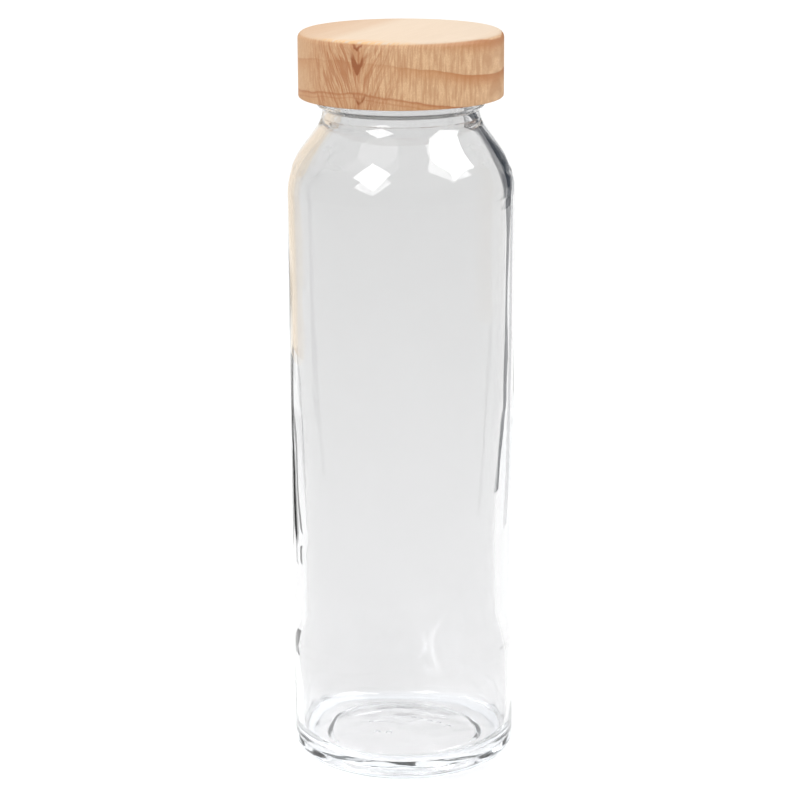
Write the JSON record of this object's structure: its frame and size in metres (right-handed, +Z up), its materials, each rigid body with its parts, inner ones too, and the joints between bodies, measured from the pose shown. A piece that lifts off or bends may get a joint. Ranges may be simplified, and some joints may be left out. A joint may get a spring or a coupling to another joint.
{
  "type": "glass water bottle",
  "caption": "Round clear glass water bottle with a push-up base, round shoulder and threaded neck, closed by a wooden screw cap with a plastic liner and a soft seal.",
  "frame": {"origin": "on the bottle's axis, in the plane of the ring that it stands on", "axes": "+Z up along the bottle's axis, towards the cap; +X and +Y are level, and the thread's start is measured from +X"},
  "size_m": [0.066, 0.066, 0.2167],
  "materials": {
    "clear_glass": "clear, fire-polished",
    "pine": "turned, unvarnished, fine-sanded",
    "white_polypropylene": "moulded, satin",
    "silicone": "translucent white, matte"
  },
  "bodies": {
    "bottle": {"glass_bottle": "clear_glass"},
    "seal": {"seal_ring": "silicone"},
    "cap": {"wooden_cap": "pine", "threaded_insert": "white_polypropylene"}
  },
  "joints": [
    {"name": "cap_lift", "type": "slide", "parent": "bottle", "child": "seal", "axis": [0, 0, 1], "range_m": [0, 0.01271]},
    {"name": "cap_turn", "type": "hinge", "parent": "seal", "child": "cap", "pos_m": [0, 0, 0.2077], "axis": [0, 0, 1], "range_deg": [0, 1080]}
  ],
  "couplings": [
    {"joint": "cap_lift", "follows": "cap_turn", "m_per_rad": 0.00067376}
  ]
}
